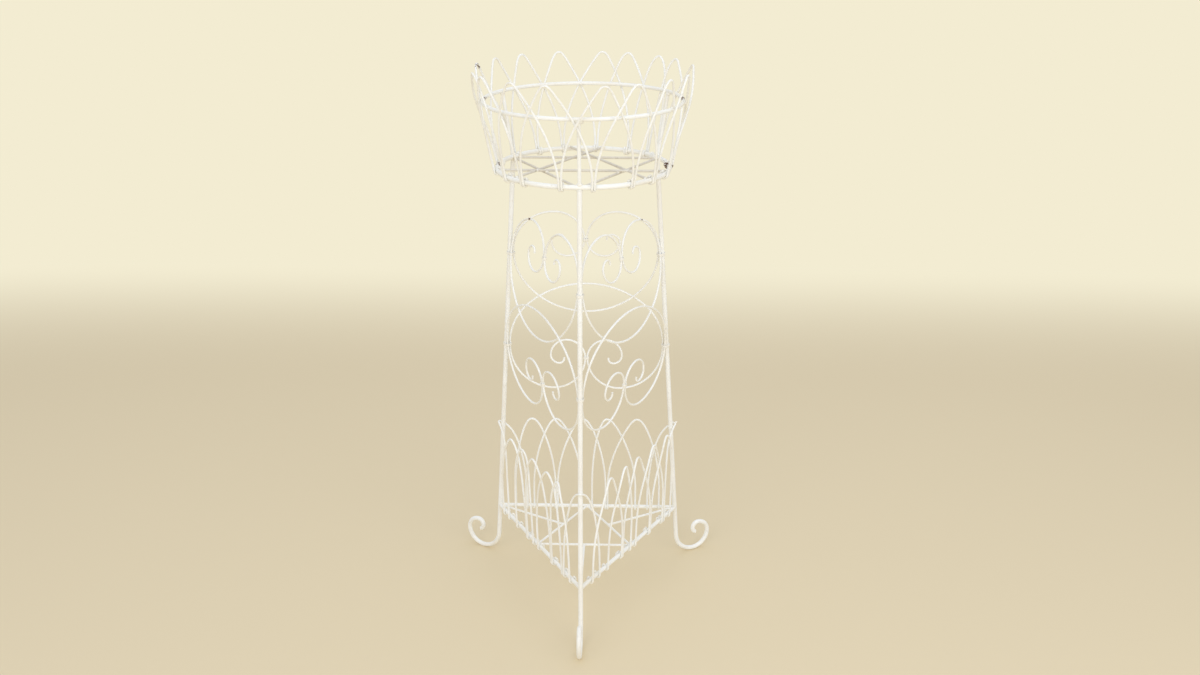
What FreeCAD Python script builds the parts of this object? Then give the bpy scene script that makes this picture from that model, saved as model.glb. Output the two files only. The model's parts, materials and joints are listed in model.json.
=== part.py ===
import FreeCAD, Part
import math
import os

# White wire plant stand: three splayed rod legs with scroll feet, a flared wire basket on top,
# a triangular shelf with a wire gallery near the floor, and heart scrolls between the legs.
# Millimetres, +Z up, the front leg towards -Y. The pieces are drawn about the stand's axis, and the
# finished stand is moved so that its origin is on the floor in the middle of the room it takes up.

# Diameters of the rods and wires
leg_rod = 8.2
ring_rod = 8.0
hoop_rod = 6.4
post_rod = 6.0
shelf_rod = 7.0
floor_rod = 4.2
loop_wire = 3.6
heart_wire = 3.6

# Heights and radii of the centrelines
ring_radius = 140.0
ring_height = 778.5
hoop_flare = 20.0
post_inset = 1.2
hoop_above_ring = 108.2
crown_above_hoop = 50.3
shelf_radius = 190.7
shelf_height = 102.0
gallery_above_shelf = 175.0

# Scroll foot, from the leg outwards: bend, sweep, curl and hook
foot_bend = 40.0
foot_sweep = 30.5
foot_curl = 22.5
foot_hook = 10.5
foot_hook_angle = 150.0
foot_flat = 0.4

# Floor of the basket: chords between the legs, and a lattice lying on them
chord_drop = 1.2
lattice_distance = 42.0

# Wire loops, bent and set by hand: how far each foot pair and each crown of the basket stands off
# its even place, in pitches, and where the gallery's crowns stand along half a frame bar
basket_foot_shift_shares = (-0.1, 0.1, -0.1, -0.2, 0.1, 0.2, -0.15, -0.4, -0.3, -0.35, -0.35, -0.3,
                            -0.25, -0.1, -0.1, -0.3, -0.05)
basket_crown_shift_shares = (0.1, -0.1, -0.15, -0.35, 0.25, 0.3, -0.05, -0.1, -0.4, -0.25, -0.2, -0.3,
                             -0.35, 0.15, -0.25, -0.15, -0.25)
gallery_crown_shares = {
    "right": (-0.53, -0.23, 0.02, 0.36, 0.65),
    "back": (-0.56, -0.22, 0.05, 0.35, 0.62),
    "left": (-0.48, -0.2, 0.06, 0.4, 0.65),
}
gallery_lean = 6.0
end_foot_reach = 30.0
corner_reach_share = 0.315
basket_widest_share = 0.03
gallery_widest_share = 0.2
corner_widest_share = 0.08
basket_crown_radius = 7.0
gallery_crown_radius = 9.0
corner_crown_share = 1.5
corner_round_share = 0.2
loop_station_shares = (0.0, 0.1, 0.22, 0.42, 0.68, 1.0)
hook_angle = 235.0

# Heart scrolls: where they touch the legs, below the ring and below each other, and their round ends
upper_heart_drop = 170.5
upper_heart_depth = 113.0
upper_heart_lean = 13.0
heart_spacing = 172.0
lower_heart_depth = 111.0
heart_side_run = 4.0
heart_side_share = 0.87
heart_lobe_share = 0.548
heart_curl_shares = (0.234, 0.197, 0.106, 0.062)
heart_end_angle = 100.0

# Bands that tie the hearts
tie_height = 4.0
tie_wall = 1.0

# Clearances
seat_gap = 0.15
weld_gap = 0.2
crossing_gap = 0.5
weave_gap = 1.8
tie_gap = 0.45

# Three legs a third of a turn apart, and the three panels between them
quarter_angle = 90.0
third_angle = 120.0
corner_angle = third_angle / 2
half_corner = math.radians(corner_angle / 2)
leg_angles = {"front": -quarter_angle}
leg_angles["right"] = leg_angles["front"] + third_angle
leg_angles["left"] = leg_angles["right"] + third_angle
panel_angles = {"right": leg_angles["front"] + corner_angle}
panel_angles["back"] = panel_angles["right"] + third_angle
panel_angles["left"] = panel_angles["back"] + third_angle

# Worked out from the sizes above
hoop_radius = ring_radius + hoop_flare
hoop_height = ring_height + hoop_above_ring
basket_crown_height = hoop_height + crown_above_hoop
gallery_crown_height = shelf_height + gallery_above_shelf
upper_heart_height = ring_height - upper_heart_drop
lower_heart_height = upper_heart_height - heart_spacing
half_bar = shelf_radius * math.cos(half_corner)
splay_slope = (shelf_radius - ring_radius) / (ring_height - shelf_height)
splay = math.atan(splay_slope)
loop_weave = (loop_wire + weave_gap) / 2
pair_half = (loop_wire + weld_gap) / 2
up = FreeCAD.Vector(0, 0, 1)


def outward(angle):
    return FreeCAD.Vector(math.cos(math.radians(angle)), math.sin(math.radians(angle)), 0)


def sideways(angle):
    return outward(angle + quarter_angle)


def leg_radius_at(height):
    return ring_radius + (ring_height - height) * splay_slope


def leg_point(angle, height):
    return outward(angle) * leg_radius_at(height) + up * height


def bent_path(place, start, heading, moves):
    """Runs and bends drawn in a plane: a move is a length with no turn, or a radius and its turn."""
    u, v = start
    path = []
    for size, turn in moves:
        facing = math.radians(heading)
        if turn == 0:
            end = (u + size * math.cos(facing), v + size * math.sin(facing))
            path.append((place(u, v), place(*end)))
        else:
            radius = math.copysign(size, turn)
            centre = (u - radius * math.sin(facing), v + radius * math.cos(facing))
            stations = [math.radians(heading + turn * share) for share in (0, 0.5, 1)]
            spots = [(centre[0] + radius * math.sin(a), centre[1] - radius * math.cos(a))
                     for a in stations]
            path.append(tuple(place(*spot) for spot in spots))
            end = spots[-1]
        u, v = end
        heading += turn
    return path


def reverse_path(path):
    return [tuple(reversed(span)) for span in reversed(path)]


def arc_span(start, tangent, end):
    """The arc that leaves start along tangent and reaches end, as its three points."""
    chord = end - start
    along = FreeCAD.Vector(chord).normalize()
    lift = tangent - along * tangent.dot(along)
    if lift.Length < 1e-5:
        return (start, end)
    half_turn = math.atan2(lift.Length, tangent.dot(along))
    middle = (start + end) * 0.5 + lift.normalize() * (chord.Length / 2 * math.tan(half_turn / 2))
    return (start, middle, end)


def biarc(start, start_tangent, end, end_tangent):
    """Two arcs that meet smoothly and follow the tangents at both ends."""
    span = end - start
    both = start_tangent + end_tangent
    spread = 1 - start_tangent.dot(end_tangent)
    if spread < 1e-9:
        reach = span.dot(span) / (2 * span.dot(both))
    else:
        root = math.sqrt(span.dot(both) ** 2 + 2 * spread * span.dot(span))
        reach = (root - span.dot(both)) / (2 * spread)
    joint = (start + end + (start_tangent - end_tangent) * reach) * 0.5
    last = arc_span(end, end_tangent * -1, joint)
    return [arc_span(start, start_tangent, joint), tuple(reversed(last))]


def rod(path, diameter, seam_way=None):
    """A round rod along runs and arcs, its surface closed on the side that seam_way points to."""
    edges = []
    for span in path:
        curve = Part.LineSegment(*span) if len(span) == 2 else Part.Arc(*span)
        edges.append(curve.toShape())
    first = edges[0]
    tangent = first.tangentAt(first.FirstParameter)
    section = Part.Circle(path[0][0], tangent, diameter / 2)
    if seam_way:
        section.XAxis = seam_way
    return Part.Wire(edges).makePipeShell([Part.Wire(section.toShape())], True, False)


def straight_rod(start, end, diameter):
    return Part.makeCylinder(diameter / 2, (end - start).Length, start, end - start)


def trimmed(shape, *tools):
    """The main piece of a rod after its ends are cut to sit on other rods."""
    for tool in tools:
        shape = shape.cut(tool)
    return max(shape.Solids, key=lambda solid: solid.Volume)


def ring_solid(radius, height, diameter):
    return Part.makeTorus(radius, diameter / 2, up * height)


def around_rod(start, end, diameter):
    return straight_rod(start, end, diameter + 2 * weld_gap)


ring_seat = ring_solid(ring_radius, ring_height, ring_rod + 2 * weld_gap)
hoop_seat = ring_solid(hoop_radius, hoop_height, hoop_rod + 2 * weld_gap)


def leg(angle):
    """A straight leg under the ring that bends out into a scroll foot."""
    def place(u, v):
        return outward(angle) * u + up * v

    top = ring_height - chord_drop - floor_rod / 2 - weld_gap
    bend_start = leg_rod / 2 - foot_flat + foot_bend * (1 - math.sin(splay))
    run = (top - bend_start) / math.cos(splay)
    heading = math.degrees(splay) - quarter_angle
    moves = [(run, 0), (foot_bend, -heading), (foot_sweep, quarter_angle), (foot_curl, quarter_angle)]
    moves.append((foot_hook, foot_hook_angle))
    body = rod(bent_path(place, (leg_radius_at(top), top), heading, moves), leg_rod)
    reach = 2 * shelf_radius
    ground = Part.makeBox(2 * reach, 2 * reach, leg_rod, FreeCAD.Vector(-reach, -reach, -leg_rod))
    return trimmed(body, ring_seat, ground)


def post(angle):
    foot = outward(angle) * ring_radius + up * ring_height
    head = outward(angle) * (hoop_radius - post_inset) + up * hoop_height
    return trimmed(straight_rod(foot, head, post_rod), ring_seat, hoop_seat)


def chord_ends(angle, distance, height):
    """Both ends, on the base ring's centreline, of a chord square to the given direction."""
    half = math.sqrt(ring_radius ** 2 - distance ** 2)
    middle = outward(angle) * distance + up * height
    return middle - sideways(angle) * half, middle + sideways(angle) * half


def floor_chords():
    level = ring_height - chord_drop
    bars = [straight_rod(*chord_ends(angle, ring_radius / 2, level), floor_rod)
            for angle in panel_angles.values()]
    return Part.makeCompound([trimmed(bar, ring_seat) for bar in bars])


def floor_lattice():
    level = ring_height - chord_drop + floor_rod + seat_gap
    bars = [straight_rod(*chord_ends(angle, lattice_distance, level), floor_rod)
            for angle in leg_angles.values()]
    return trimmed(bars[0].fuse(bars[1:]), ring_seat)


def shelf_corner(angle):
    return leg_point(angle, shelf_height)


def shelf_bar_ends(angle):
    """The two corners that the frame bar on this side joins."""
    return shelf_corner(angle - corner_angle), shelf_corner(angle + corner_angle)


def shelf_bar(angle):
    """A frame bar between two legs, one end coped over the next bar."""
    ends = shelf_bar_ends(angle)
    leg_seats = [around_rod(end - leg_axis(a) * leg_rod, end + leg_axis(a) * leg_rod, leg_rod)
                 for end, a in zip(ends, (angle - corner_angle, angle + corner_angle))]
    next_bar = around_rod(*shelf_bar_ends(angle + third_angle), shelf_rod)
    return trimmed(straight_rod(*ends, shelf_rod), *leg_seats, next_bar)


def leg_axis(angle):
    return (leg_point(angle, ring_height) - leg_point(angle, shelf_height)).normalize()


def shelf_medial_frame():
    """Three bars between the middles of the frame bars, welded to each other."""
    middles = [outward(angle) * (shelf_radius / 2) + up * shelf_height for angle in panel_angles.values()]
    bars = [straight_rod(middles[i - 1], middles[i], floor_rod) for i in range(len(middles))]
    seats = [around_rod(*shelf_bar_ends(angle), shelf_rod) for angle in panel_angles.values()]
    return trimmed(bars[0].fuse(bars[1:]), *seats)


def shelf_corner_bars():
    """Bars from the wedge between two frame bars to the medial frame."""
    start = shelf_radius - (shelf_rod / 2 + floor_rod / 2 + weld_gap) / math.sin(half_corner)
    end = shelf_radius / 4 + floor_rod / 2 + weld_gap
    level = up * shelf_height
    bars = [straight_rod(outward(angle) * start + level, outward(angle) * end + level, floor_rod)
            for angle in leg_angles.values()]
    return Part.makeCompound(bars)


def hook_path(centre, outside, lean, radius):
    """A loop's foot: from its outer tangent point under the rod and up inside."""
    spots = []
    for share in (0, 0.25, 0.5, 0.75, 1):
        a = -lean - math.radians(hook_angle) * share
        spots.append(centre + outside * (radius * math.cos(a)) + up * (radius * math.sin(a)))
    return [tuple(spots[0:3]), tuple(spots[2:5])]


def loop_solid(spot, left_hook, right_hook, left_rise, right_rise):
    """A loop from hook to hook through the spots of its arch, each a point for a share from -1 to 1."""
    shares = [-share for share in reversed(loop_station_shares[1:])] + list(loop_station_shares)
    nudge = 1e-6
    points = [left_hook[0][0]]
    tangents = [left_rise]
    for share in shares:
        points.append(spot(share))
        tangents.append((spot(share + nudge) - spot(share - nudge)).normalize())
    points.append(right_hook[0][0])
    tangents.append(right_rise * -1)
    path = reverse_path(left_hook)
    for i in range(len(points) - 1):
        path += biarc(points[i], tangents[i], points[i + 1], tangents[i + 1])
    return rod(path + right_hook, loop_wire, left_hook[-1][-1] - left_hook[0][0])


def rounded_slope(share, rounding):
    """A steady slope from 0 to 1 whose start is rounded."""
    return (math.hypot(share, rounding) - rounding) / (math.hypot(1, rounding) - rounding)


def bent_slope(share, bend):
    """A steady slope from 0 to 1 that starts level and has its full slope after the bend."""
    start = min(share, bend)
    return (share - start + start ** 2 / bend / 2) / (1 - bend / 2)


def crown_rounding(half_width, rise, widest_share, radius):
    """The rounding that gives an arch of this half width and rise its crown radius."""
    return radius * rise * (1 - widest_share) / (math.pi / 2 * half_width) ** 2


def weave_at(side):
    """How far a wire stands off its surface to pass its neighbour, most at a third of the way down."""
    return loop_weave * 729 / 16 * side ** 2 * (1 - side) ** 4


def arch_spot(place, left, peak, right, rise, widest_share, crown_radius, slope, right_way=-1):
    """An arch on a surface: half a sine to each side, passing outside what it crosses on its left,
    and inside or outside on its right."""
    crown = place(peak, rise, 0)
    roundings = [crown_rounding((place(end, rise, 0) - crown).Length, rise, widest_share, crown_radius)
                 for end in (left, right)]

    def spot(share):
        side = min(abs(share), 1)
        end, rounding, way = (right, roundings[1], right_way) if share > 0 else (left, roundings[0], 1)
        along = peak + (end - peak) * math.sin(math.pi / 2 * side)
        height = rise * (1 - (1 - widest_share) * slope(abs(share), rounding))
        return place(along, height, way * weave_at(side))
    return spot


def basket_angles(shift_shares):
    """Places round the ring, spread evenly and then shifted by shares of a pitch."""
    pitch = 360 / len(shift_shares)
    return [leg_angles["front"] + (i + 0.5 + shift) * pitch for i, shift in enumerate(shift_shares)]


def basket_foot_angles():
    """Feet round the ring, moved aside where a leg or the end of a floor bar is in the way."""
    hook_depth = ring_rod / 2 + loop_wire + seat_gap

    def bar_side(slant):
        return hook_depth * math.tan(slant) + floor_rod / 2 / math.cos(slant)

    lattice_turn = math.degrees(math.acos(lattice_distance / ring_radius))
    lattice_side = bar_side(math.asin(lattice_distance / ring_radius))
    crossings = [(angle, max(leg_rod / 2, bar_side(half_corner))) for angle in leg_angles.values()]
    for angle in leg_angles.values():
        crossings += [(angle - lattice_turn, lattice_side), (angle + lattice_turn, lattice_side)]
    foot_room = pair_half + loop_wire / 2 + crossing_gap
    angles = []
    for angle in basket_angles(basket_foot_shift_shares):
        for crossing, side in crossings:
            least = math.degrees((side + foot_room) / (ring_radius - hook_depth))
            beside = (angle - crossing + 180) % 360 - 180
            if abs(beside) < least:
                angle += math.copysign(least, beside) - beside
        angles.append(angle)
    return angles


def basket_loops():
    foot_radius = ring_rod / 2 + loop_wire / 2 + seat_gap
    hoop_clear = hoop_rod / 2 + loop_wire / 2 + loop_weave + seat_gap
    rise_between = hoop_height - ring_height
    flare_between = hoop_radius - ring_radius
    lean = math.atan2(flare_between, rise_between)
    lean += math.asin((hoop_clear - foot_radius) / math.hypot(flare_between, rise_between))
    base_radius = ring_radius + foot_radius * math.cos(lean)
    base_height = ring_height - foot_radius * math.sin(lean)
    rise = (basket_crown_height - base_height) / math.cos(lean)
    pair_angle = math.degrees(pair_half / (ring_radius - foot_radius))

    def place(angle, height, weave):
        radius = base_radius + height * math.sin(lean) + weave * math.cos(lean)
        return outward(angle) * radius + up * (base_height + height * math.cos(lean) - weave * math.sin(lean))

    angles = basket_foot_angles()
    loops = []
    for i, peak in enumerate(basket_angles(basket_crown_shift_shares)):
        left = angles[i - 1] - (360 if i == 0 else 0) + pair_angle
        right = angles[(i + 1) % len(angles)] + (360 if i + 1 == len(angles) else 0) - pair_angle
        hooks = [hook_path(outward(a) * ring_radius + up * ring_height, outward(a), lean, foot_radius)
                 for a in (left, right)]
        rises = [outward(a) * math.sin(lean) + up * math.cos(lean) for a in (left, right)]
        spot = arch_spot(place, left, peak, right, rise, basket_widest_share, basket_crown_radius,
                         bent_slope)
        loops.append(loop_solid(spot, *hooks, *rises))
    return loops


def gallery_foot(angle, along):
    """Where a loop's foot sits on a frame bar: the bar's centre there."""
    return outward(angle) * (shelf_radius / 2) + sideways(angle) * along + up * shelf_height


gallery_foot_radius = shelf_rod / 2 + loop_wire / 2 + seat_gap
gallery_tilt = math.atan2(gallery_lean, gallery_crown_height - shelf_height)
gallery_base_height = shelf_height - gallery_foot_radius * math.sin(gallery_tilt)
gallery_slant = (gallery_crown_height - gallery_base_height) / math.cos(gallery_tilt)


def gallery_hook(angle, along):
    hook = hook_path(gallery_foot(angle, along), outward(angle), gallery_tilt, gallery_foot_radius)
    return hook, outward(angle) * math.sin(gallery_tilt) + up * math.cos(gallery_tilt)


def gallery_row(angle, crown_shares):
    """The loops along one frame bar: each stands from the last crown's place to the next one's, and
    the middle feet are set either side of the medial bars."""
    hook_depth = gallery_foot_radius + loop_wire / 2
    medial_side = hook_depth * math.tan(half_corner) + floor_rod / 2 / math.cos(half_corner)
    middle_room = medial_side + loop_wire / 2 + crossing_gap

    def place(along, height, weave):
        reach = gallery_foot_radius * math.cos(gallery_tilt) + height * math.sin(gallery_tilt)
        reach += weave * math.cos(gallery_tilt)
        level = gallery_base_height + height * math.cos(gallery_tilt) - weave * math.sin(gallery_tilt)
        return outward(angle) * (shelf_radius / 2 + reach) + sideways(angle) * along + up * level

    crowns = [share * half_bar for share in crown_shares]
    lefts = [end_foot_reach - half_bar] + [crown + pair_half for crown in crowns[:-1]]
    rights = [crown - pair_half for crown in crowns[1:]] + [half_bar - end_foot_reach]
    loops = []
    for left, peak, right in zip(lefts, crowns, rights):
        if abs(left) < middle_room:
            left = middle_room
        if abs(right) < middle_room:
            right = -middle_room
        left_hook, rise_way = gallery_hook(angle, left)
        right_hook, rise_way = gallery_hook(angle, right)
        right_way = 1 if peak == crowns[-1] else -1
        spot = arch_spot(place, left, peak, right, gallery_slant, gallery_widest_share,
                         gallery_crown_radius, rounded_slope, right_way)
        loops.append(loop_solid(spot, left_hook, right_hook, rise_way, rise_way))
    return loops


def corner_loop(angle):
    """A loop that straddles a leg, its feet on the frame bars to either side, closing outside the leg
    and passing inside the last loops of both rows."""
    along = half_bar * (1 - corner_reach_share)
    left_hook, left_rise = gallery_hook(angle - corner_angle, along)
    right_hook, right_rise = gallery_hook(angle + corner_angle, -along)
    left, right = left_hook[0][0], right_hook[0][0]
    leg_clear = leg_rod / 2 + loop_wire / 2 + crossing_gap
    crown_radius = leg_radius_at(gallery_crown_height) + corner_crown_share * leg_clear
    base = (left + right) * 0.5
    base_radius = base.dot(outward(angle))
    half = (right - left) * 0.5
    rise = gallery_crown_height - base.z
    rounding = crown_rounding(half.Length, rise, corner_widest_share, gallery_crown_radius)

    def spot(share):
        drop = min(abs(share), 1)
        side = math.copysign(math.sin(math.pi / 2 * drop), share)
        height = rise * (1 - (1 - corner_widest_share) * rounded_slope(abs(share), rounding))
        out = (crown_radius - base_radius) * (1 - rounded_slope(abs(side), corner_round_share))
        out -= weave_at(drop) / math.sin(half_corner)
        return base + outward(angle) * out + half * side + up * height

    return loop_solid(spot, left_hook, right_hook, left_rise, right_rise)


def heart_radii(height, depth, upper_side_is_lobe):
    """Half width at the legs and the radii of a heart's arcs, from the legs' spacing at its height."""
    leg_side = leg_radius_at(height) * math.cos(half_corner)
    lean = math.atan(splay_slope * math.cos(half_corner))
    lobe = heart_lobe_share * leg_side
    side = heart_side_share * depth
    touching = lobe if upper_side_is_lobe else side
    stand_off = leg_rod / 2 + heart_wire / 2 + crossing_gap
    half_width = leg_side + touching - (stand_off + touching) / math.cos(lean)
    excess = ((half_width - side) ** 2 + (depth - side) ** 2) / (2 * (depth - side))
    turn = math.degrees(math.asin((half_width - side) / excess))
    inner = half_width - lobe - heart_wire / 2 - weld_gap / 2
    curls = [share * leg_side for share in heart_curl_shares]
    return {"half_width": half_width, "round": side + excess, "turn": turn, "side": side, "lobe": lobe,
            "inner": inner, "curls": curls}


upper_radii = heart_radii(upper_heart_height, upper_heart_depth, True)
lower_radii = heart_radii(lower_heart_height, lower_heart_depth, False)


def lower_heart_lean():
    """Lean of the lower heart that carries it just outside the upper one where their round ends cross."""
    upper_centre = upper_heart_height - upper_heart_depth + upper_radii["round"]
    lower_centre = lower_heart_height + lower_heart_depth - lower_radii["round"]
    apart = upper_centre - lower_centre
    below = (apart ** 2 + upper_radii["round"] ** 2 - lower_radii["round"] ** 2) / (2 * apart)
    crossing = upper_centre - below
    upper_out = leg_radius_at(upper_heart_height) / 2
    upper_out += upper_heart_lean * (upper_heart_height - crossing) / upper_heart_depth
    needed = upper_out + heart_wire + crossing_gap - leg_radius_at(lower_heart_height) / 2
    return needed * lower_heart_depth / (crossing - lower_heart_height)


hearts = {
    "upper": (upper_heart_height, upper_heart_depth, upper_heart_lean, upper_radii, 1),
    "lower": (lower_heart_height, lower_heart_depth, lower_heart_lean(), lower_radii, -1),
}


def heart_place(angle, height, depth, lean, way):
    """The leaning plane of a heart: u along the panel, v from the legs' touch towards the lobes."""
    tilt = math.asin(lean / depth)
    lobes = up * (way * math.cos(tilt)) - outward(angle) * math.sin(tilt)
    origin = outward(angle) * (leg_radius_at(height) / 2) + up * height

    def place(u, v):
        return origin + sideways(angle) * u + lobes * v
    return place


def heart(angle, height, depth, lean, radii, way):
    """One wire: curled end, lobe, side, round end and the same again mirrored."""
    place = heart_place(angle, height, depth, lean, way)
    moves = [(radii["round"], radii["turn"]), (radii["side"], quarter_angle - radii["turn"])]
    moves += [(heart_side_run, 0), (radii["lobe"], quarter_angle), (radii["inner"], quarter_angle)]
    moves += [(curl, quarter_angle) for curl in radii["curls"][:-1]]
    moves.append((radii["curls"][-1], heart_end_angle))
    half = bent_path(place, (0, -depth), 0, moves)
    mirrored = bent_path(lambda u, v: place(-u, v), (0, -depth), 0, moves)
    return rod(reverse_path(mirrored) + half, heart_wire)


def hull_face(circles, place):
    """The face inside a band pulled tight round circles given anticlockwise as x, y and radius."""
    count = len(circles)
    normals = []
    for i in range(count):
        x, y, radius = circles[i]
        next_x, next_y, next_radius = circles[(i + 1) % count]
        apart = math.hypot(next_x - x, next_y - y)
        normals.append(math.atan2(next_y - y, next_x - x) - math.acos((radius - next_radius) / apart))

    def rim(i, a):
        x, y, radius = circles[i]
        return place(x + radius * math.cos(a), y + radius * math.sin(a))

    edges = []
    for i in range(count):
        start = normals[i - 1]
        turn = (normals[i] - start) % (2 * math.pi)
        edges.append(Part.Arc(*[rim(i, start + turn * share) for share in (0, 0.5, 1)]).toShape())
        following = (i + 1) % count
        edges.append(Part.LineSegment(rim(i, normals[i]), rim(following, normals[i])).toShape())
    return Part.Face(Part.Wire(edges))


def tie_band(circles, origin, across, square, axis):
    """A flat band with a little room round the rods it holds, centred on origin."""
    def place(x, y):
        return origin + across * x + square * y - axis * (tie_height / 2)

    faces = [hull_face([(x, y, radius + tie_gap + wall) for x, y, radius in circles], place)
             for wall in (0, tie_wall)]
    hole, block = [face.extrude(axis * tie_height) for face in faces]
    return block.cut(hole)


def leg_tie(angle, height, radii):
    """A band round a leg and the two heart wires beside it."""
    spacing = leg_radius_at(height) * math.cos(half_corner) - radii["half_width"]
    x, y = spacing * math.cos(half_corner), spacing * math.sin(half_corner)
    circles = [(0, 0, leg_rod / 2), (x, -y, heart_wire / 2), (x, y, heart_wire / 2)]
    axis = leg_axis(angle)
    square = sideways(angle) * -1
    return tie_band(circles, leg_point(angle, height), square.cross(axis), square, axis)


def centre_tie(angle, height, depth, lean, radii, way):
    """A band round the two lobes of a heart where they touch."""
    place = heart_place(angle, height, depth, lean, way)
    touch = heart_side_run + radii["lobe"] - radii["inner"]
    half = (heart_wire + weld_gap) / 2
    circles = [(-half, 0, heart_wire / 2), (half, 0, heart_wire / 2)]
    axis = (place(0, 1) - place(0, 0)).normalize()
    return tie_band(circles, place(0, touch), sideways(angle), axis.cross(sideways(angle)), axis)


os.makedirs("parts", exist_ok=True)
nodes = {
    "base_ring": ring_solid(ring_radius, ring_height, ring_rod),
    "basket_hoop": ring_solid(hoop_radius, hoop_height, hoop_rod),
    "floor_chords": floor_chords(),
    "floor_lattice": floor_lattice(),
    "shelf_medial_frame": shelf_medial_frame(),
    "shelf_corner_bars": shelf_corner_bars(),
}
for side, angle in leg_angles.items():
    nodes["leg_" + side] = leg(angle)
    nodes["post_" + side] = post(angle)
    nodes["corner_loop_" + side] = corner_loop(angle)
for side, angle in panel_angles.items():
    nodes["shelf_bar_" + side] = shelf_bar(angle)
    for level, sizes in hearts.items():
        nodes["heart_" + level + "_" + side] = heart(angle, *sizes)
    for number, loop in enumerate(gallery_row(angle, gallery_crown_shares[side]), 1):
        nodes["gallery_loop_" + side + "_" + str(number)] = loop
for number, loop in enumerate(basket_loops(), 1):
    nodes["basket_loop_" + str(number).zfill(2)] = loop
nodes["leg_ties"] = Part.makeCompound([leg_tie(angle, sizes[0], sizes[3])
                                       for sizes in hearts.values() for angle in leg_angles.values()])
nodes["centre_ties"] = Part.makeCompound([centre_tie(angle, *sizes)
                                          for sizes in hearts.values() for angle in panel_angles.values()])

room = Part.makeCompound(list(nodes.values())).optimalBoundingBox(False, False)
to_middle = FreeCAD.Vector(-room.Center.x, -room.Center.y, 0)
for name, shape in nodes.items():
    shape.translated(to_middle).exportStep("parts/" + name + ".step")
print(len(nodes), "nodes")
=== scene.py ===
import bpy
import json
import math
import numpy as np
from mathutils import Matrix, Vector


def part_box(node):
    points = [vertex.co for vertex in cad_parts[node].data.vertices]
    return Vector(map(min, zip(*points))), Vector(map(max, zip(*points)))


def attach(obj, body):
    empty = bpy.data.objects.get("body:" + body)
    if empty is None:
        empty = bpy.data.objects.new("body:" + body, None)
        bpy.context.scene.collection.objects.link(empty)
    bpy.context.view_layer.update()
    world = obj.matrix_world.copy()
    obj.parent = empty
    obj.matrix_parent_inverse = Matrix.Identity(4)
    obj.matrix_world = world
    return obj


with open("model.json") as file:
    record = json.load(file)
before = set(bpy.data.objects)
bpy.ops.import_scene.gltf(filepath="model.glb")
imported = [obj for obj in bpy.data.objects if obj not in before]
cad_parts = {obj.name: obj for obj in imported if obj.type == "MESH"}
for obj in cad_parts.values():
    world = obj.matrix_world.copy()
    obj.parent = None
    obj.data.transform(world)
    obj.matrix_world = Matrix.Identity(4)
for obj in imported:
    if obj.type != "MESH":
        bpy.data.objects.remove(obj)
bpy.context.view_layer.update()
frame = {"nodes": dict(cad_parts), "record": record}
nodes = frame["nodes"]
print("frame loaded:", len(nodes), "nodes")

mm = 0.001
rng = np.random.default_rng(7)  # one seed, so every run draws the same lumps

# rods and wires in metres, as the solids have them
rods = dict(ring=8.0 * mm, hoop=6.4 * mm, wire=3.6 * mm)
legAngles = dict(front=-90, right=30, left=150)
panelAngles = dict(right=-30, back=90, left=210)
allLegs = np.array(list(legAngles.values()))
allPanels = np.array(list(panelAngles.values()))
upward = np.array([0, 0, 1.0])

# the stand's axis is the middle of the ring that carries the basket
ringLow, ringHigh = (np.array(corner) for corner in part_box("base_ring"))
axisX, axisY, ringZ = (ringLow + ringHigh) / 2
axis = np.array([axisX, axisY, 0])
ringRadius = (ringHigh[0] - ringLow[0] - rods["ring"]) / 2
hoopLow, hoopHigh = (np.array(corner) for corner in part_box("basket_hoop"))
hoopZ = (hoopLow[2] + hoopHigh[2]) / 2
hoopRadius = (hoopHigh[0] - hoopLow[0] - rods["hoop"]) / 2
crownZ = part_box("basket_loop_13")[1][2]  # the crowns all stand at one height
shelfLow, shelfHigh = (np.array(corner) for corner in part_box("shelf_bar_back"))
shelfZ = (shelfLow[2] + shelfHigh[2]) / 2
shelfRadius = 2 * ((shelfLow[1] + shelfHigh[1]) / 2 - axisY)  # a corner is twice as far out as a bar's middle


def outward(angle):  # unit vector away from the axis
    turn = np.radians(np.asarray(angle, float))
    return np.stack([np.cos(turn), np.sin(turn), np.zeros_like(turn)], -1)


def onStand(radius, angle, height):  # polar place round the stand's axis, in metres
    place = outward(angle) * np.asarray(radius, float)[..., None]
    return place + axis + np.asarray(height, float)[..., None] * upward


def turnOf(points):  # angle round the axis, in degrees
    return np.degrees(np.arctan2(points[..., 1] - axisY, points[..., 0] - axisX))


def turnFrom(middle):  # signed turn from an angle round the axis
    return lambda points: (turnOf(points) - middle + 180) % 360 - 180


def linear(hexColour, alpha=1.0):  # sRGB hex to linear RGBA
    parts = [int(hexColour[i:i + 2], 16) / 255 for i in (1, 3, 5)]
    return [p / 12.92 if p <= 0.04045 else ((p + 0.055) / 1.055) ** 2.4 for p in parts] + [alpha]


def addNode(tree, kind, inputs=None, **settings):  # a node with its settings, values and links
    node = tree.nodes.new(kind)
    for name, value in settings.items():
        setattr(node, name, value)
    for name, value in (inputs or {}).items():
        if isinstance(value, bpy.types.NodeSocket):
            tree.links.new(value, node.inputs[name])
        else:
            node.inputs[name].default_value = value
    return node


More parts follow.
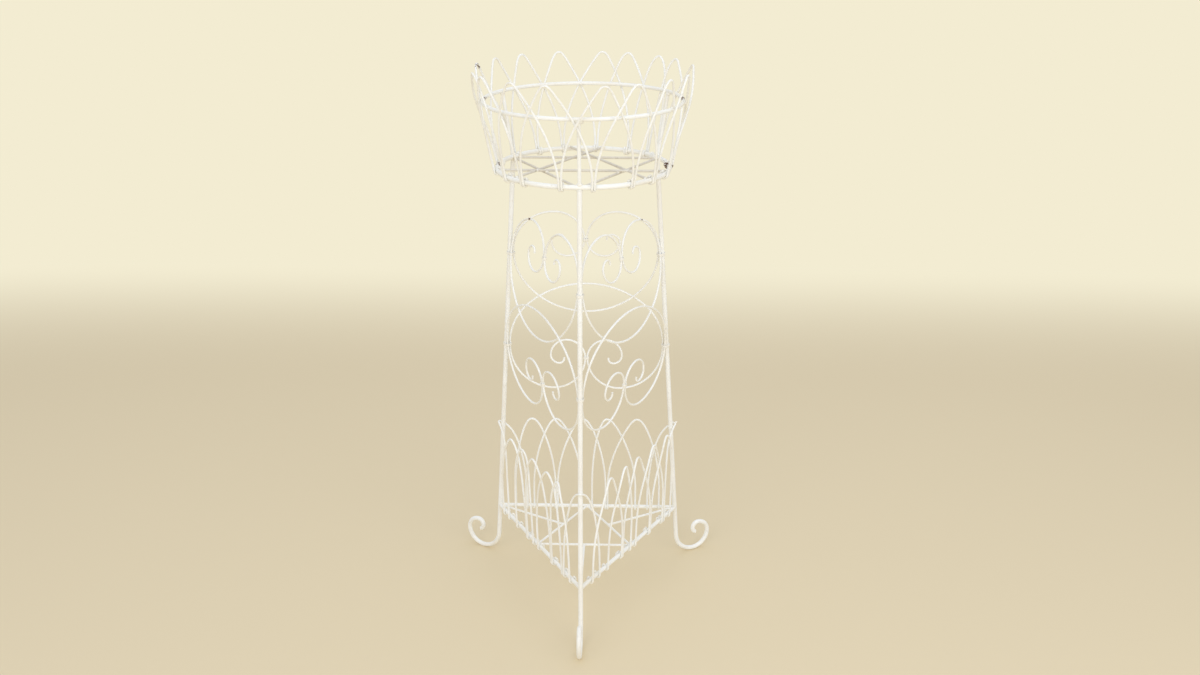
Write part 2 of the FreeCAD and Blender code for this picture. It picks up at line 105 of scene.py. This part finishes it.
# Brushed enamel over mild steel: oil-based gloss put on by hand, so the film pools in soft daubs,
# yellows in patches, and breaks away in small chips that show a grey rim and a brown rust heart.
rodEnamel = dict(name="brushedEnamelOnSteelRod", paint="#FAFAF6", aged="#F5F2E9", thin="#E6E1D5",
                 rim="#8F877A", rust="#6A4630", roughness=0.36, agedMm=70, daubMm=7, peelMm=1.6,
                 patchMm=38, chipMm=3.2, chipLevel=0.735, filmMm=0.22, bands=[], spots=[])
wireEnamel = dict(rodEnamel, name="brushedEnamelOnDrawnWire", daubMm=5, chipMm=2.6, chipLevel=0.745,
                  filmMm=0.18)
scrollEnamel = dict(wireEnamel, name="brushedEnamelOnScrollWire", chipLevel=0.74)
# the floor bars' greyer paint, aged and thin colours are painted shade, for the shade the bars sit in inside
# the basket
shadedFloorBarEnamel = dict(wireEnamel, name="enamelGreyedForShadeOnFloorBars", paint="#E4DFD4", aged="#D6CFC2",
                      thin="#B4ADA1", chipLevel=0.7)
bandEnamel = dict(rodEnamel, name="brushedEnamelOnSteelStrip", paint="#F8F5EC", daubMm=3, chipMm=2.0,
                  chipLevel=0.68, filmMm=0.16)
beadEnamel = dict(rodEnamel, name="enamelOverBrazedBead", paint="#F6F3EA", thin="#D3C6AA", daubMm=2.5,
                  chipMm=1.8, chipLevel=0.68, filmMm=0.2)

# detail and roughness of each noise, then what the noises do to the film
patterns = dict(aged=(3.0, 0.5), daub=(2.0, 0.5), peel=(1.0, 0.5), chip=(4.0, 0.62), patch=(2.0, 0.5))
chipping = dict(patchLow=0.35, patchHigh=0.75, patchLeast=-0.09, patchMost=0.07, rimTo=0.02,
                heartFrom=0.03, heartTo=0.08)
film = dict(yellowLow=0.42, yellowHigh=0.68, thinLow=0.58, thinHigh=0.8, thinMost=0.55, bump=0.55,
            glossLow=0.3, glossHigh=0.7, smoother=0.06, rougher=0.12, bareRoughness=0.85, ior=1.5)


def makeEnamel(spec):
    material = bpy.data.materials.new(spec["name"])
    material.use_nodes = True
    tree = material.node_tree
    tree.nodes.clear()
    place = addNode(tree, "ShaderNodeTexCoord").outputs["Object"]
    # Object coordinates are metres, so a pattern of so many mm has a scale of 1000 over that size
    grain = {}
    for pattern, (detail, coarseness) in patterns.items():
        noise = addNode(tree, "ShaderNodeTexNoise", {"Vector": place, "Scale": 1000 / spec[pattern + "Mm"],
                                                     "Detail": detail, "Roughness": coarseness})
        grain[pattern] = noise.outputs["Fac"]
    # chips gather in patches, at worn heights and round spots, and the same mask paints the contact shadow of
    # some spots in the chips' grey and brown
    wearAndShade = addNode(tree, "ShaderNodeMapRange", {"Value": grain["patch"], "From Min": chipping["patchLow"],
                                                "From Max": chipping["patchHigh"],
                                                "To Min": chipping["patchLeast"],
                                                "To Max": chipping["patchMost"]}).outputs["Result"]
    height = addNode(tree, "ShaderNodeSeparateXYZ", {"Vector": place}).outputs["Z"]
    wornAndShaded = []
    for level, reach, gain in spec["bands"]:
        offset = addNode(tree, "ShaderNodeMath", {0: height, 1: level}, operation="SUBTRACT").outputs[0]
        away = addNode(tree, "ShaderNodeMath", {0: offset}, operation="ABSOLUTE").outputs[0]
        wornAndShaded.append((away, reach, gain))
    for spot, reach, gain in spec["spots"]:
        away = addNode(tree, "ShaderNodeVectorMath", {0: place, 1: tuple(spot)}, operation="DISTANCE")
        wornAndShaded.append((away.outputs["Value"], reach, gain))
    for away, reach, gain in wornAndShaded:
        near = addNode(tree, "ShaderNodeMapRange", {"Value": away, "From Min": 0.0, "From Max": reach,
                                                    "To Min": gain, "To Max": 0.0}).outputs["Result"]
        wearAndShade = addNode(tree, "ShaderNodeMath", {0: wearAndShade, 1: near}, operation="ADD").outputs[0]
    bareAndShaded = addNode(tree, "ShaderNodeMath", {0: grain["chip"], 1: wearAndShade}, operation="ADD").outputs[0]
    edge = spec["chipLevel"]
    rim = addNode(tree, "ShaderNodeMapRange", {"Value": bareAndShaded, "From Min": edge,
                                               "From Max": edge + chipping["rimTo"]}).outputs["Result"]
    heart = addNode(tree, "ShaderNodeMapRange", {"Value": bareAndShaded, "From Min": edge + chipping["heartFrom"],
                                                 "From Max": edge + chipping["heartTo"]}).outputs["Result"]
    yellowing = addNode(tree, "ShaderNodeMapRange", {"Value": grain["aged"], "From Min": film["yellowLow"],
                                                     "From Max": film["yellowHigh"]}).outputs["Result"]
    thinning = addNode(tree, "ShaderNodeMapRange", {"Value": grain["daub"], "From Min": film["thinLow"],
                                                    "From Max": film["thinHigh"],
                                                    "To Max": film["thinMost"]}).outputs["Result"]
    colour = linear(spec["paint"])
    for share, tint in ((yellowing, "aged"), (thinning, "thin"), (rim, "rim"), (heart, "rust")):
        colour = addNode(tree, "ShaderNodeMix", {0: share, 6: colour, 7: linear(spec[tint])},
                         data_type="RGBA").outputs[2]
    # the film's daubs and fine peel stand up, and chips are as deep as the film is thick
    relief = addNode(tree, "ShaderNodeMath", {0: grain["daub"], 1: grain["peel"]}, operation="ADD").outputs[0]
    relief = addNode(tree, "ShaderNodeMath", {0: relief, 1: rim}, operation="SUBTRACT").outputs[0]
    bump = addNode(tree, "ShaderNodeBump", {"Height": relief, "Distance": spec["filmMm"] * mm,
                                            "Strength": film["bump"]})
    gloss = addNode(tree, "ShaderNodeMapRange", {"Value": grain["daub"], "From Min": film["glossLow"],
                                                 "From Max": film["glossHigh"],
                                                 "To Min": spec["roughness"] - film["smoother"],
                                                 "To Max": spec["roughness"] + film["rougher"]})
    gloss = addNode(tree, "ShaderNodeMix", {0: rim, 2: gloss.outputs["Result"], 3: film["bareRoughness"]})
    shader = addNode(tree, "ShaderNodeBsdfPrincipled", {"Base Color": colour, "Roughness": gloss.outputs[0],
                                                        "IOR": film["ior"],
                                                        "Normal": bump.outputs["Normal"]})
    addNode(tree, "ShaderNodeOutputMaterial", {"Surface": shader.outputs["BSDF"]})
    return material


# Where the photograph shows the film broken, and two spots of painted contact shadow on the wire. A band is a
# height, its reach and how much more it chips, and a spot is a place, its reach and the same.
rodEnamel["bands"] = [(0.0, 9 * mm, 0.10), (ringZ, 6 * mm, 0.02), (shelfZ, 6 * mm, 0.02)]
rodEnamel["spots"] = [(onStand(134 * mm, 178, ringZ), 32 * mm, 0.36),
                      (onStand(134 * mm, 4, ringZ), 34 * mm, 0.37),
                      (onStand(135 * mm, 208, ringZ), 15 * mm, 0.36),
                      (onStand(135 * mm, 338, ringZ), 12 * mm, 0.33),
                      (onStand(158 * mm, 180, hoopZ), 28 * mm, 0.36),
                      (onStand(158 * mm, 3, hoopZ), 28 * mm, 0.35)]
wireEnamel["bands"] = [(ringZ - 5 * mm, 9 * mm, 0.08), (shelfZ - 4 * mm, 8 * mm, 0.06)]
wireEnamel["spots"] = [(onStand(177.5 * mm, 167.4, crownZ - 11 * mm), 19 * mm, 0.6),
                       # these two spots are painted contact shadow in the dark gaps where the loops' hooks
                       # sit on the ring, and chips and rust as well
                       (onStand(138 * mm, 6, ringZ), 26 * mm, 0.33),
                       (onStand(138 * mm, 178, ringZ), 24 * mm, 0.31)]
scrollEnamel["spots"] = [(onStand(92.7 * mm, 166.5, ringZ - 93.8 * mm), 9 * mm, 0.46),
                         (onStand(98.2 * mm, 16.3, ringZ - 96.6 * mm), 10 * mm, 0.36)]
nodeFinishes = {"rod_enamel": makeEnamel(rodEnamel), "wire_enamel": makeEnamel(wireEnamel),
                "tie_enamel": makeEnamel(bandEnamel)}
scrollFinish = makeEnamel(scrollEnamel)
shadedFloorBarFinish = makeEnamel(shadedFloorBarEnamel)
beadFinish = makeEnamel(beadEnamel)
# the floor chords and lattice take the enamel greyed with painted shade
ownFinishes = dict(floor_chords=shadedFloorBarFinish, floor_lattice=shadedFloorBarFinish)
slotOf = {part["node"]: part["material_slot"] for part in frame["record"]["subparts"]}
for name, node in nodes.items():
    finish = scrollFinish if name.startswith("heart") else ownFinishes.get(name, nodeFinishes[slotOf[name]])
    node.data.materials.clear()
    node.data.materials.append(finish)
print("finishes:", len(bpy.data.materials))


def addPiece(name, points, faces, finish):  # one mesh at the origin, smooth, riding on the stand
    mesh = bpy.data.meshes.new(name)
    mesh.from_pydata(points.tolist(), [], faces)
    mesh.polygons.foreach_set("use_smooth", np.ones(len(mesh.polygons), bool))
    mesh.materials.append(finish)
    mesh.update()
    piece = bpy.data.objects.new(name, mesh)
    bpy.context.scene.collection.objects.link(piece)
    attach(piece, "root")
    return piece


# A bead of filler metal: a ball whose radius swells and dips with three slow waves of chance phase,
# stretched by its sizes along, across and square to the joint. A dimple sinks the side it points to.
beadGrid = dict(rows=12, cols=18, waviness=2.2, dimpleWidth=0.1, sizeLeast=0.9, sizeMost=1.12)


def beadPoints(places, along, across, sizes, rough=0.16, dimple=0.0, dimpleWay=(0, 0, 1)):
    polar = np.linspace(0, np.pi, beadGrid["rows"] + 1)[1:-1, None]
    turn = np.linspace(0, 2 * np.pi, beadGrid["cols"], endpoint=False)
    rings = np.stack([np.sin(polar) * np.cos(turn), np.sin(polar) * np.sin(turn),
                      np.cos(polar) + 0 * turn], -1)
    ball = np.vstack([[[0, 0, 1]], rings.reshape(-1, 3), [[0, 0, -1]]])
    waves = rng.normal(0, beadGrid["waviness"], (len(places), 3, 3))
    phases = rng.uniform(0, 2 * np.pi, (len(places), 3, 1))
    swell = 1 + rough * np.sin(waves @ ball.T + phases).sum(1) / 3
    swell = swell - dimple * np.exp((ball @ np.array(dimpleWay, float) - 1) / beadGrid["dimpleWidth"])
    axes = np.stack([along, across, np.cross(along, across)], 1)
    return places[:, None, :] + (ball * swell[..., None] * sizes[:, None, :]) @ axes


def beadFaces(count):  # quads between the rings and a fan at each pole, repeated for every bead
    rows, cols = beadGrid["rows"] - 1, beadGrid["cols"]
    ring = 1 + np.arange(rows * cols).reshape(rows, cols)
    following = np.roll(ring, -1, 1)
    last = rows * cols + 1
    quads = np.stack([ring[:-1], ring[1:], following[1:], following[:-1]], -1).reshape(-1, 4)
    fans = np.vstack([np.stack([0 * ring[0], ring[0], following[0]], -1),
                      np.stack([0 * ring[0] + last, following[-1], ring[-1]], -1)])
    step = np.arange(count)[:, None, None] * (last + 1)
    return (quads + step).reshape(-1, 4).tolist() + (fans + step).reshape(-1, 3).tolist()


def addBeads(name, places, along, across, sizesMm, slotName, **shape):  # one piece for a group of beads
    places = np.asarray(places, float).reshape(-1, 3)
    along = np.broadcast_to(np.asarray(along, float), places.shape)
    across = np.broadcast_to(np.asarray(across, float), places.shape)
    chance = rng.uniform(beadGrid["sizeLeast"], beadGrid["sizeMost"], (len(places), 1))
    sizes = np.broadcast_to(np.asarray(sizesMm, float) * mm, places.shape) * chance
    points = beadPoints(places, along, across, sizes, **shape).reshape(-1, 3)
    return addPiece(name, points, beadFaces(len(places)), beadFinish)


def addBeadsRound(name, radius, angles, height, sizesMm, slotName, **shape):  # beads set round the axis
    return addBeads(name, onStand(radius, angles, height), outward(angles + 90), outward(angles), sizesMm,
                    slotName, **shape)


def meshPoints(name):  # a node's corners as an array
    points = np.empty(len(nodes[name].data.vertices) * 3, np.float32)
    nodes[name].data.vertices.foreach_get("co", points)
    return points.reshape(-1, 3).astype(float)


armReach = 14 * mm  # how far above and below a level an arm is read
hookDrop = 3 * mm  # a wire's points that lie this far under a rod's middle belong to its hooks


def armsAt(name, level, sideOf):  # where a loop's two arms pass a level: straight lines fitted near it
    points = meshPoints(name)
    points = points[np.abs(points[:, 2] - level) < armReach]
    side = sideOf(points)
    arms = []
    for arm in (points[side < 0], points[side > 0]):
        fit = np.polyfit(arm[:, 2] - level, arm[:, :2], 1)
        arms.append([fit[1, 0], fit[1, 1], level])
    return np.array(arms)


# Legs, posts and bars round the ring. The leg tops end in a round bead with a sunken middle.
legTop = dict(inset=6.2, rise=1.5, sizes=(5.4, 4.4, 4.8), dimple=0.45, dimpleWay=(0, -0.6, -0.8))
addBeadsRound("leg_top_beads", ringRadius - legTop["inset"] * mm, allLegs, ringZ + legTop["rise"] * mm,
              legTop["sizes"], "rod_enamel", rough=0.1, dimple=legTop["dimple"],
              dimpleWay=legTop["dimpleWay"])

legJoint = dict(drop=5.4, sizes=(5.0, 4.9, 3.0))
addBeadsRound("leg_joint_beads", ringRadius, allLegs, ringZ - legJoint["drop"] * mm, legJoint["sizes"],
              "rod_enamel")

postFoot = dict(out=0.8, rise=4.6, sizes=(4.1, 3.9, 2.4))
addBeadsRound("post_foot_beads", ringRadius + postFoot["out"] * mm, allLegs, ringZ + postFoot["rise"] * mm,
              postFoot["sizes"], "rod_enamel")

postHead = dict(inset=1.4, drop=3.6, sizes=(5.6, 3.7, 2.8), frontSizes=(7.4, 3.9, 4.2))
headSizes = np.where((allLegs == legAngles["front"])[:, None], postHead["frontSizes"], postHead["sizes"])
addBeadsRound("post_head_beads", hoopRadius - postHead["inset"] * mm, allLegs,
              hoopZ - postHead["drop"] * mm, headSizes, "rod_enamel")

# Floor bars: the lattice's ends on the ring, its own crossings, and where it lies on the chords
floorBars = dict(latticeOut=42.0, latticeRise=3.15, chordDrop=1.2, endInset=3.6, endSizes=(3.4, 2.6, 2.5),
                 crossSizes=(3.3, 3.3, 2.5), seatSizes=(2.9, 2.9, 2.2))
latticeTurn = np.degrees(np.arccos(floorBars["latticeOut"] * mm / ringRadius))
latticeEnds = np.concatenate([allLegs - latticeTurn, allLegs + latticeTurn])
latticeZ = ringZ + floorBars["latticeRise"] * mm
addBeadsRound("lattice_end_beads", ringRadius - floorBars["endInset"] * mm, latticeEnds, latticeZ,
              floorBars["endSizes"], "wire_enamel")
addBeadsRound("lattice_cross_beads", 2 * floorBars["latticeOut"] * mm, allPanels, latticeZ,
              floorBars["crossSizes"], "wire_enamel")
# a lattice bar and a chord are lines at known distances from the axis, so their crossing solves two equations
barLegs, barPanels = np.repeat(allLegs, 2), np.stack([allLegs - 60, allLegs + 60], -1).ravel()
crossLines = np.stack([outward(barLegs)[:, :2], outward(barPanels)[:, :2]], 1)
crossFar = np.broadcast_to(np.array([floorBars["latticeOut"] * mm, ringRadius / 2]), (len(barLegs), 2))
crossings = np.linalg.solve(crossLines, crossFar[..., None])[..., 0]
seatZ = ringZ + (floorBars["latticeRise"] - floorBars["chordDrop"]) / 2 * mm
seats = np.column_stack([crossings + [axisX, axisY], np.full(len(crossings), seatZ)])
addBeads("lattice_seat_beads", seats, outward(barLegs + 90), outward(barLegs), floorBars["seatSizes"],
         "wire_enamel")

# Basket loops: a tack where an arm lies on the hoop, one between the two feet of a pair, and a drop of
# enamel on each hook's tip. A loop's second foot pairs with the first foot of the next loop but one.
basketBeads = dict(tackRoom=2.6, tackSizes=(2.9, 2.2, 2.6), pairStep=2, pairOutShare=0.5,
                   pairDropShare=0.87, pairSizes=(2.4, 2.4, 1.5), tipIn=2.4, tipRise=5.45,
                   tipSizes=(2.0, 2.0, 1.9), tipRough=0.08)
basketLoops = sorted(name for name in nodes if name.startswith("basket_loop"))
hoopArms, ringFeet = [], []
for name in basketLoops:
    points = meshPoints(name)
    middle = turnOf(points.mean(0))
    hoopArms.append(armsAt(name, hoopZ, turnFrom(middle)))
    under = points[points[:, 2] < ringZ - hookDrop]
    side = turnFrom(middle)(under)
    ringFeet.append([turnOf(under[side < 0].mean(0)), turnOf(under[side > 0].mean(0))])
hoopArms, ringFeet = np.concatenate(hoopArms), np.array(ringFeet)
armTurns = turnOf(hoopArms)
armRoom = np.hypot(hoopArms[:, 0] - axisX, hoopArms[:, 1] - axisY) - hoopRadius
armRoom = armRoom - (rods["hoop"] + rods["wire"]) / 2
tacked = armRoom < basketBeads["tackRoom"] * mm
tackRadius = hoopRadius + rods["hoop"] / 2 + armRoom[tacked] / 2
addBeadsRound("hoop_tack_beads", tackRadius, armTurns[tacked], hoopZ, basketBeads["tackSizes"], "wire_enamel")
addBeadsRound("ring_tip_drops", ringRadius - basketBeads["tipIn"] * mm, ringFeet.ravel(),
              ringZ + basketBeads["tipRise"] * mm, basketBeads["tipSizes"], "wire_enamel",
              rough=basketBeads["tipRough"])
pairGaps = (np.roll(ringFeet[:, 0], -basketBeads["pairStep"]) - ringFeet[:, 1] + 180) % 360 - 180
footReach = (rods["ring"] + rods["wire"]) / 2
addBeadsRound("ring_pair_beads", ringRadius + basketBeads["pairOutShare"] * footReach,
              ringFeet[:, 1] + pairGaps / 2, ringZ - basketBeads["pairDropShare"] * footReach,
              basketBeads["pairSizes"], "wire_enamel")
print("basket beads:", int(tacked.sum()), "tacks on the hoop")

# Shelf: bars on the legs, the medial frame on the bars, and the corner bars
shelfBeads = dict(barInset=5.4, barSizes=(2.8, 4.3, 4.2), medialInset=4.6, medialSizes=(6.4, 2.2, 2.8),
                  wedgeInset=11.4, wedgeSizes=(2.7, 3.4, 2.5), innerOut=2.6, innerSizes=(2.9, 2.4, 2.6))
corners = onStand(shelfRadius, allLegs, shelfZ)
barWays = np.stack([outward(allLegs + 150), outward(allLegs - 150)], 1).reshape(-1, 3)
barSpots = np.repeat(corners, 2, 0) + barWays * shelfBeads["barInset"] * mm
addBeads("shelf_corner_beads", barSpots, barWays, np.cross(upward, barWays), shelfBeads["barSizes"],
         "rod_enamel")
addBeadsRound("shelf_medial_beads", shelfRadius / 2 - shelfBeads["medialInset"] * mm, allPanels, shelfZ,
              shelfBeads["medialSizes"], "wire_enamel")
addBeadsRound("shelf_wedge_beads", shelfRadius - shelfBeads["wedgeInset"] * mm, allLegs, shelfZ,
              shelfBeads["wedgeSizes"], "wire_enamel")
addBeadsRound("shelf_inner_beads", shelfRadius / 4 + shelfBeads["innerOut"] * mm, allLegs, shelfZ,
              shelfBeads["innerSizes"], "wire_enamel")

# Gallery loops: a nub joins the two wires of a pair above the bar, and each hook's tip ends in a drop
galleryBeads = dict(rowLoops=5, barReach=9.0, nubRise=26.0, nubRoom=7.0, nubSizes=(3.1, 2.4, 3.4),
                    tipIn=2.97, tipRise=4.57, tipSizes=(2.0, 2.0, 1.9), tipRough=0.08)
nubZ = shelfZ + galleryBeads["nubRise"] * mm
tipRadius, tipZ = shelfRadius / 2 - galleryBeads["tipIn"] * mm, shelfZ + galleryBeads["tipRise"] * mm
nubs, nubWays, tips, tipWays = [], [], [], []
for side, angle in panelAngles.items():
    way, out = outward(angle + 90), outward(angle)
    rowNames = [f"gallery_loop_{side}_{number}" for number in range(1, galleryBeads["rowLoops"] + 1)]
    arms = []
    for name in rowNames + [f"corner_loop_{end}" for end in legAngles]:
        points = meshPoints(name)
        onBar = np.abs((points - axis) @ out - shelfRadius / 2) < galleryBeads["barReach"] * mm
        under = points[onBar & (points[:, 2] < shelfZ - hookDrop)]
        if name in rowNames:
            middle = points.mean(0) @ way
            arms.append(armsAt(name, nubZ, lambda spots: spots @ way - middle))
        if len(under):
            along = under @ way
            nearer = along < along.mean()
            halves = [along[nearer], along[~nearer]] if name in rowNames else [along]
            for half in halves:
                tips.append(onStand(tipRadius, angle, tipZ) + way * (half.mean() - axis @ way))
                tipWays.append(out)
    for first, second in zip(arms[:-2], arms[2:]):
        if np.linalg.norm(first[1] - second[0]) < galleryBeads["nubRoom"] * mm:
            nubs.append((first[1] + second[0]) / 2)
            nubWays.append(out)
nubWays, tipWays = np.array(nubWays), np.array(tipWays)
addBeads("gallery_nubs", np.array(nubs), np.cross(upward, nubWays), nubWays, galleryBeads["nubSizes"],
         "wire_enamel")
addBeads("gallery_tip_drops", np.array(tips), np.cross(upward, tipWays), tipWays, galleryBeads["tipSizes"],
         "wire_enamel", rough=galleryBeads["tipRough"])
print("gallery beads:", len(nubs), "nubs,", len(tips), "tips")

# The right corner loop isn't closed: its two wire ends cross at the crown and splay, and a twist of
# wire ties one of its arms lower down.
openCrown = dict(loop="corner_loop_right", splay=(0.72, 0.0, 0.69), stub=2.6, stubSizes=(4.4, 1.75, 1.75),
                 stubRough=0.06, twistHeight=0.205, twistSizes=(2.6, 2.4, 3.2), twistRough=0.3)
crownPoints = meshPoints(openCrown["loop"])
crownTop = crownPoints[crownPoints[:, 2] > crownPoints[:, 2].max() - rods["wire"]].mean(0)
stubWays = np.array([openCrown["splay"]]) * np.array([[-1, 1, 1], [1, 1, 1]])  # one end to each side
stubWays = stubWays / np.linalg.norm(stubWays, axis=1, keepdims=True)
addBeads("crown_fork_ends", crownTop + stubWays * openCrown["stub"] * mm, stubWays, (0, 1, 0),
         openCrown["stubSizes"], "wire_enamel", rough=openCrown["stubRough"])
crownOut, crownWay = outward(legAngles["right"]), outward(legAngles["right"] + 90)
twistArms = armsAt(openCrown["loop"], openCrown["twistHeight"], lambda spots: (spots - axis) @ crownWay)
addBeads("arm_twist_bead", twistArms[1:], crownWay, crownOut, openCrown["twistSizes"], "wire_enamel",
         rough=openCrown["twistRough"])

# Light, floor and camera. The pale floor fades into a cream backdrop, which only the camera and
# glossy or clear surfaces see, so it puts no light of its own on the stand.
stage = dict(floor="#E8D8B6", backdrop="#F3ECD2", backdropStrength=1.0, fadeStart=0.9, fadeEnd=1.9,
             fadeSquash=0.5, floorSize=40.0, sky="#F6F9FF", skyStrength=0.72, lampAim=0.5)
half = stage["floorSize"] / 2
floorCorners = [(-half, -half, 0), (half, -half, 0), (half, half, 0), (-half, half, 0)]
floorMesh = bpy.data.meshes.new("floor")
floorMesh.from_pydata(floorCorners, [], [(0, 1, 2, 3)])
floor = bpy.data.objects.new("floor", floorMesh)
bpy.context.scene.collection.objects.link(floor)


def seenShare(tree):  # 1 for rays that the camera, gloss or glass sends out
    rays = addNode(tree, "ShaderNodeLightPath").outputs
    seen = addNode(tree, "ShaderNodeMath", {0: rays["Is Camera Ray"], 1: rays["Is Glossy Ray"]},
                   operation="ADD")
    return addNode(tree, "ShaderNodeMath", {0: seen.outputs[0], 1: rays["Is Transmission Ray"]},
                   operation="ADD", use_clamp=True).outputs[0]


paper = bpy.data.materials.new("mattPaperFloor")
paper.use_nodes = True
tree = paper.node_tree
tree.nodes.clear()
# the fade's outline is a rounded oblong: the root of the fourth powers of both distances added
spot = addNode(tree, "ShaderNodeTexCoord").outputs["Object"]
oval = addNode(tree, "ShaderNodeMapping", {"Vector": spot, "Scale": (stage["fadeSquash"], 1, 1),
                                           "Location": (0, -axisY, 0)}).outputs[0]
squared = addNode(tree, "ShaderNodeVectorMath", {0: oval, 1: oval}, operation="MULTIPLY").outputs[0]
away = addNode(tree, "ShaderNodeVectorMath", {0: squared}, operation="LENGTH").outputs["Value"]
fade = addNode(tree, "ShaderNodeMapRange", {"Value": away, "From Min": stage["fadeStart"] ** 2,
                                            "From Max": stage["fadeEnd"] ** 2},
               interpolation_type="SMOOTHSTEP").outputs["Result"]
fade = addNode(tree, "ShaderNodeMath", {0: fade, 1: seenShare(tree)}, operation="MULTIPLY").outputs[0]
matt = addNode(tree, "ShaderNodeBsdfDiffuse", {"Color": linear(stage["floor"])}).outputs[0]
glow = addNode(tree, "ShaderNodeEmission", {"Color": linear(stage["backdrop"]),
                                            "Strength": stage["backdropStrength"]}).outputs[0]
faded = addNode(tree, "ShaderNodeMixShader", {0: fade, 1: matt, 2: glow}).outputs[0]
addNode(tree, "ShaderNodeOutputMaterial", {"Surface": faded})
floorMesh.materials.append(paper)

world = bpy.data.worlds.new("studio")
bpy.context.scene.world = world
world.use_nodes = True
tree = world.node_tree
tree.nodes.clear()
light = addNode(tree, "ShaderNodeBackground", {"Color": linear(stage["sky"]),
                                               "Strength": stage["skyStrength"]}).outputs[0]
shown = addNode(tree, "ShaderNodeBackground", {"Color": linear(stage["backdrop"]),
                                               "Strength": stage["backdropStrength"]}).outputs[0]
mixed = addNode(tree, "ShaderNodeMixShader", {0: seenShare(tree), 1: light, 2: shown}).outputs[0]
addNode(tree, "ShaderNodeOutputWorld", {"Surface": mixed})

lamps = dict(key=dict(place=(-1.1, -2.7, 2.2), size=2.4, power=27, colour="#F8FAFF"),
             fill=dict(place=(1.6, -2.1, 1.5), size=2.4, power=20, colour="#F8FAFF"),
             top=dict(place=(0.2, 1.3, 2.9), size=2.4, power=8, colour="#F8FAFF"))
for lampName, spec in lamps.items():
    light = bpy.data.lights.new(lampName, "AREA")
    light.shape = "DISK"
    light.size = spec["size"]
    light.energy = spec["power"]
    light.color = linear(spec["colour"])[:3]
    lamp = bpy.data.objects.new(lampName, light)
    bpy.context.scene.collection.objects.link(lamp)
    lamp.location = spec["place"]
    aim = axis + upward * stage["lampAim"] - np.array(spec["place"])
    lamp.rotation_euler = (math.atan2(math.hypot(aim[0], aim[1]), -aim[2]), 0, math.atan2(-aim[0], aim[1]))

view = dict(place=(0.086, -1.988, 1.245), yaw=0.0297, pitch=0.367, lens=37.3, sensor=36.0)
eye = bpy.data.cameras.new("photoCamera")
eye.sensor_fit = "HORIZONTAL"
eye.sensor_width = view["sensor"]
eye.lens = view["lens"]
camera = bpy.data.objects.new("photoCamera", eye)
bpy.context.scene.collection.objects.link(camera)
camera.location = axis + np.array(view["place"])
camera.rotation_euler = (math.pi / 2 - view["pitch"], 0, view["yaw"])
bpy.context.scene.camera = camera
bpy.context.scene.view_settings.view_transform = "Standard"
print("stage set")
